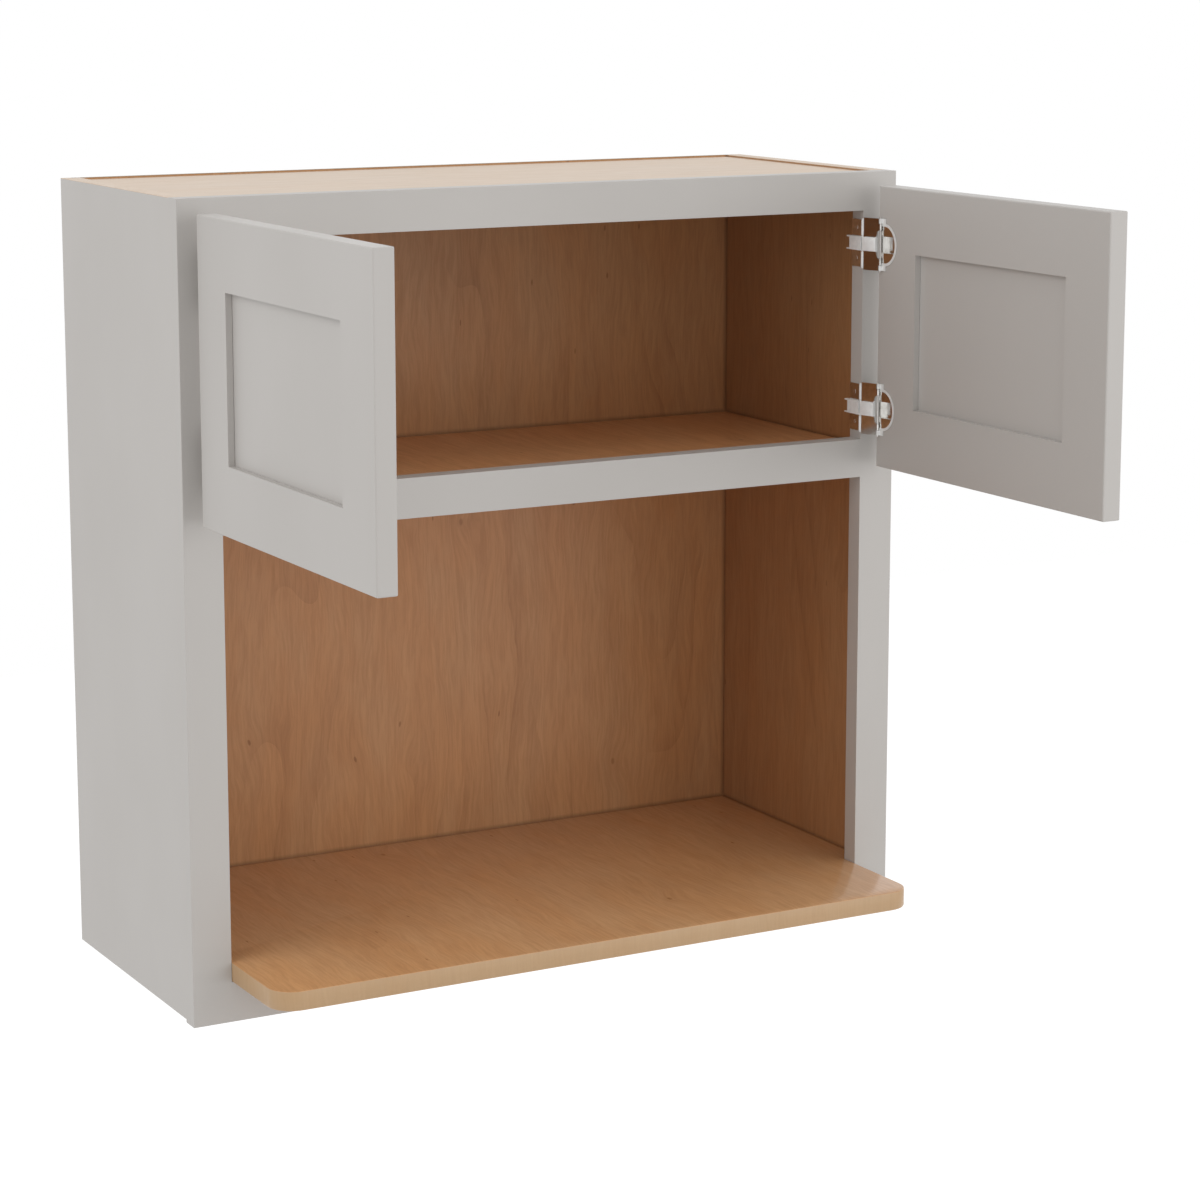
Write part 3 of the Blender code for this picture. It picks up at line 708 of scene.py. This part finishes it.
def painted_joinery(paint):
    """The rails of the face frame and doors, with their joints painted over."""
    for place in ("top", "middle", "bottom"):
        node = f"frame_{place}_rail"
        shape = merged(node)
        for axis in (X, Y, Z):
            close_joints(shape, axis, "frame_left_stile", "frame_right_stile")
        stands_for(new_piece(node + "_painted", shape, [paint]), node)
    for label in ("left", "right"):
        hinge_stile = f"{label}_door_hinge_stile"
        meeting_stile = f"{label}_door_meeting_stile"
        for place in ("top", "bottom"):
            node = f"{label}_door_{place}_rail"
            shape = merged(node)
            close_joints(shape, X, meeting_stile)
            close_joints(shape, Y, meeting_stile, hinge_stile)
            close_joints(shape, Z, meeting_stile)
            stands_for(new_piece(node + "_painted", shape, [paint]), node)


def painted_sides():
    """The side panels, with the joint to the face frame painted over."""
    for label, outward in (("left", -1), ("right", 1)):
        node = label + "_side"
        shape = merged(node)
        close_joints(shape, Y, f"frame_{label}_stile")
        stands_for(new_piece(node + "_painted", shape, [painted_side(label, outward)]), node)


def rounded_shelf():
    """The microwave shelf, with its corners and eased edges shaded smooth."""
    shape = merged("microwave_shelf")
    piece = new_piece("microwave_shelf_varnished", shape, [maple_shelf()])
    smooth_rounds(piece)
    stands_for(piece, "microwave_shelf")


def leaf_height_and_seat(label, row):
    """The middle of a hinge leaf's height, and how far from the cabinet's middle its stile is."""
    leaf = f"{label}_{row}_hinge_leaf"
    height = sum(lowest_and_highest(leaf, Z)) / 2
    return height, max(abs(edge) for edge in lowest_and_highest(leaf, X))


def door_face_of(label):
    """How far from the cabinet's middle the inner face of an open door is."""
    return min(abs(edge) for edge in lowest_and_highest(f"{label}_door_hinge_stile", X))


def satin_on_hinge(label, row):
    """For each piece of a hinge, the test of a face's middle that tells whether it is satin."""
    height, seat = leaf_height_and_seat(label, row)
    door_face = door_face_of(label)
    frame_pin = PIVOT_AT[f"{label}_link_pivot"]
    door_pin = PIVOT_AT[f"{label}_door_pivot"]
    along = (door_pin - frame_pin).normalized()
    outward = Vector((-along.y, along.x, 0)) * (1 if label == "left" else -1)

    def at_arm(middle):
        return abs(middle.z - height) < ARM_HALF_HEIGHT

    def on_knuckle(middle):
        return (middle - frame_pin).to_2d().length < KNUCKLE_REACH

    def on_channel(middle):
        return at_arm(middle) and seat - abs(middle.x) > PLATE_SHEET + RIM_RISE

    def on_arm(middle):
        return at_arm(middle) and (middle - frame_pin).dot(outward) > ARM_RISE

    def on_rim(middle):
        return door_face - abs(middle.x) > RIM_RISE

    def on_hinge_edge(middle):
        return middle.y > door_pin.y - CUP_EDGE and abs(middle.z - height) < CUP_HALF_CHORD

    return {
        "leaf": lambda middle: on_channel(middle) or on_knuckle(middle),
        "link": lambda middle: on_arm(middle) or on_knuckle(middle),
        "cup": lambda middle: on_rim(middle) and not on_hinge_edge(middle),
        "frame_pin": lambda middle: True,
        "door_pin": lambda middle: False,
    }


def cut_across(shape, place, facing):
    everything = shape.verts[:] + shape.edges[:] + shape.faces[:]
    bmesh.ops.bisect_plane(shape, geom=everything, plane_co=place, plane_no=facing)


def dish_cup(shape, label):
    """Slopes a cup's floor up to its hinge edge, beside a flat trough that the arm folds into.

    Gives the corners of the floor.
    """
    outward = -1 if label == "left" else 1
    shallow = door_face_of(label) - CUP_FLANGE + CUP_LIP
    deep = max(abs(corner.co.x) for corner in shape.verts) - CUP_BASE
    heights = [corner.co.z for corner in shape.verts]
    middle = (min(heights) + max(heights)) / 2
    hinge_edge = PIVOT_AT[f"{label}_door_pivot"].y - CUP_EDGE
    cut_across(shape, (0, hinge_edge, 0), (0, 1, 0))
    for reach in (CUP_TROUGH, CUP_TROUGH + CUP_TROUGH_WALL, CUP_HALF_CHORD):
        for side in (-1, 1):
            cut_across(shape, (0, 0, middle + side * reach), (0, 0, 1))
    floor = [corner for corner in shape.verts if abs(abs(corner.co.x) - deep) < MASK_MARGIN]
    far = min(corner.co.y for corner in floor)
    for corner in floor:
        if abs(corner.co.z - middle) > CUP_TROUGH + CUP_TROUGH_WALL / 2:
            share = (hinge_edge - corner.co.y) / (hinge_edge - far)
            corner.co.x = outward * (shallow + share * (deep - shallow))
    return set(floor)


def soften_edges(piece):
    soft = piece.modifiers.new("soft edges", "BEVEL")
    soft.width = PLATE_EDGE
    soft.segments = PLATE_EDGE_STEPS
    soft.limit_method = "ANGLE"
    soft.angle_limit = PLATE_EDGE_ANGLE
    soft.harden_normals = True
    applied(piece)


def plated_hinges(nickel, zinc):
    """The pieces of each hinge, with soft edges and both platings; a cup's floor is shaded flat."""
    for label in ("left", "right"):
        for row in HINGE_ROWS:
            for part, is_satin in satin_on_hinge(label, row).items():
                node = f"{label}_{row}_hinge_{part}"
                shape = merged(node)
                floor = dish_cup(shape, label) if part == "cup" else set()
                for face in shape.faces:
                    face.smooth = not floor.issuperset(face.verts)
                    face.material_index = 1 if is_satin(face.calc_center_median()) else 0
                piece = new_piece(node + "_plated", shape, [nickel, zinc])
                soften_edges(piece)
                stands_for(piece, node)


# Hinge screws
def screw_tree(material):
    """Nearly flush heads with a crossed slot, one on each point of a mesh.

    Each head is turned as the point's facing attribute says.
    """
    sizes = {
        "Head radius": SCREW_HEAD_RADIUS,
        "Head rise": SCREW_HEAD_RISE,
        "Slot length": SCREW_SLOT_LENGTH,
        "Slot width": SCREW_SLOT_WIDTH,
        "Slot depth": SCREW_SLOT_DEPTH,
    }
    inputs = {"Places": ("NodeSocketGeometry", None)}
    inputs.update({name: ("NodeSocketFloat", size) for name, size in sizes.items()})
    outputs = {"Screws": "NodeSocketGeometry"}
    tree, given, out = new_group("Hinge screws", "GeometryNodeTree", inputs, outputs)

    def vector(x, y, z):
        return add(tree, "ShaderNodeCombineXYZ", {0: x, 1: y, 2: z}).outputs[0]

    inputs = {
        "Vertices": SCREW_HEAD_SIDES,
        "Radius Top": maths(tree, "MULTIPLY", given["Head radius"], SCREW_HEAD_TAPER),
        "Radius Bottom": given["Head radius"],
        "Depth": given["Head rise"],
    }
    head = add(tree, "GeometryNodeMeshCone", inputs).outputs["Mesh"]
    twice_deep = maths(tree, "MULTIPLY", given["Slot depth"], 2.0)
    crossed = add(tree, "GeometryNodeMeshBoolean", {"Mesh 1": head}, operation="DIFFERENCE")
    for x, y in (("Slot length", "Slot width"), ("Slot width", "Slot length")):
        size = vector(given[x], given[y], twice_deep)
        bar = add(tree, "GeometryNodeMeshCube", {"Size": size}).outputs["Mesh"]
        inputs = {"Geometry": bar, "Translation": vector(0.0, 0.0, given["Head rise"])}
        raised = add(tree, "GeometryNodeTransform", inputs).outputs[0]
        feed(tree, raised, crossed.inputs["Mesh 2"])

    inputs = {"Name": "facing"}
    facing = add(tree, "GeometryNodeInputNamedAttribute", inputs, data_type="FLOAT_VECTOR")
    inputs = {"Vector": facing.outputs["Attribute"]}
    turn = add(tree, "FunctionNodeAlignRotationToVector", inputs, axis="Z").outputs[0]
    inputs = {"Points": given["Places"], "Instance": crossed.outputs[0], "Rotation": turn}
    heads = add(tree, "GeometryNodeInstanceOnPoints", inputs).outputs[0]
    real = add(tree, "GeometryNodeRealizeInstances", {0: heads}).outputs[0]
    inputs = {"Geometry": real, "Material": material}
    feed(tree, add(tree, "GeometryNodeSetMaterial", inputs).outputs[0], out[0])
    return tree, sizes


def hinge_screws(nickel):
    """Two screws through each hinge leaf into the edge of its stile."""
    places = []
    facings = []
    for label, inward in (("left", 1), ("right", -1)):
        front = lowest_and_highest(f"frame_{label}_stile", Y)[0]
        for row in HINGE_ROWS:
            height, seat = leaf_height_and_seat(label, row)
            for side in (1, -1):
                x = -inward * (seat - PLATE_SHEET)
                places.append((x, front + SCREW_FROM_FRONT, height + side * SCREW_SPREAD))
                facings.append((inward, 0, 0))
    mesh = bpy.data.meshes.new("hinge_screws")
    mesh.from_pydata(places, [], [])
    facing = mesh.attributes.new("facing", "FLOAT_VECTOR", "POINT")
    for point, direction in zip(facing.data, facings):
        point.vector = direction
    screws = bpy.data.objects.new("hinge_screws", mesh)
    bpy.context.scene.collection.objects.link(screws)
    tree, sizes = screw_tree(nickel)
    maker = screws.modifiers.new("screws", "NODES")
    maker.node_group = tree
    for socket in tree.interface.items_tree:
        if socket.name in sizes:
            maker[socket.identifier] = sizes[socket.name]
    applied(screws)
    smooth_rounds(screws)
    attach(screws, "cabinet")


def give(node, material):
    """Puts a material in place of a solid's own."""
    mesh = frame["nodes"][node].data
    mesh.materials.clear()
    mesh.materials.append(material)


def dress_solids(paint):
    for node, slot in SLOT_OF.items():
        if slot == "paint":
            give(node, paint)
    give("back_panel", maple_back())
    give("top_panel", bare_top())
    give("upper_deck", maple_deck())


# Studio
def white_when_seen(tree):
    """1 for a ray that shows the background: to the camera, mirrored or through glass."""
    path = tree.nodes.new("ShaderNodeLightPath").outputs
    seen = maths(tree, "MAXIMUM", path["Is Camera Ray"], path["Is Glossy Ray"])
    return maths(tree, "MAXIMUM", seen, path["Is Transmission Ray"])


def pale_floor():
    """A floor that keeps the shadow, lifted to white where it is seen in full light."""
    low = cad_box[0].z - HANGING_HEIGHT
    half = FLOOR_SIZE / 2
    shape = bmesh.new()
    around = ((-half, -half), (half, -half), (half, half), (-half, half))
    shape.faces.new([shape.verts.new((x, y, low)) for x, y in around])
    material = bpy.data.materials.new("pale floor")
    material.use_nodes = True
    tree = material.node_tree
    tree.nodes.remove(tree.nodes["Principled BSDF"])
    grey = (FLOOR_SHADE, FLOOR_SHADE, FLOOR_SHADE, 1)
    matt = add(tree, "ShaderNodeBsdfDiffuse", {"Color": grey})
    lift = maths(tree, "MULTIPLY", white_when_seen(tree), FLOOR_LIFT)
    glow = add(tree, "ShaderNodeEmission", {"Strength": lift})
    both = add(tree, "ShaderNodeAddShader", {0: matt.outputs[0], 1: glow.outputs[0]})
    feed(tree, both.outputs[0], tree.nodes["Material Output"].inputs["Surface"])
    new_piece("floor", shape, [material])


def room():
    """Even light from all round, and plain white wherever the background is seen."""
    world = bpy.data.worlds.new("studio")
    bpy.context.scene.world = world
    world.use_nodes = True
    tree = world.node_tree
    shade = tree.nodes["Background"]
    shade.inputs["Color"].default_value = (1, 1, 1, 1)
    strength = mixed_value(tree, white_when_seen(tree), ROOM_LIGHT, 1.0)
    feed(tree, strength, shade.inputs["Strength"])


def studio_lights():
    """Square lamps that face the cabinet and stay out of the picture."""
    for name, (place, size, watts) in SOFT_BOXES.items():
        lamp = bpy.data.lights.new(name, "AREA")
        lamp.shape = "SQUARE"
        lamp.size = size
        lamp.energy = watts
        item = bpy.data.objects.new(name, lamp)
        item.location = place
        item.rotation_euler = (LIGHTS_FACE - Vector(place)).to_track_quat("-Z", "Y").to_euler()
        item.visible_camera = False
        bpy.context.scene.collection.objects.link(item)


def photo_camera():
    lens = bpy.data.cameras.new("photo camera")
    lens.lens = CAMERA_LENS
    lens.sensor_width = CAMERA_SENSOR
    lens.sensor_fit = "HORIZONTAL"
    lens.shift_y = CAMERA_SHIFT
    camera = bpy.data.objects.new("photo camera", lens)
    camera.location = CAMERA_PLACE
    camera.rotation_euler = (math.radians(90) - CAMERA_TILT, 0, -CAMERA_TURN)
    bpy.context.scene.collection.objects.link(camera)
    bpy.context.scene.camera = camera


def build():
    paint = satin_paint()
    nickel = nickel_plate()
    dress_solids(paint)
    painted_joinery(paint)
    painted_sides()
    rounded_shelf()
    plated_hinges(nickel, zinc_plate())
    hinge_screws(nickel)
    pale_floor()
    room()
    studio_lights()
    photo_camera()
    bpy.context.scene.view_settings.view_transform = "Standard"


build()
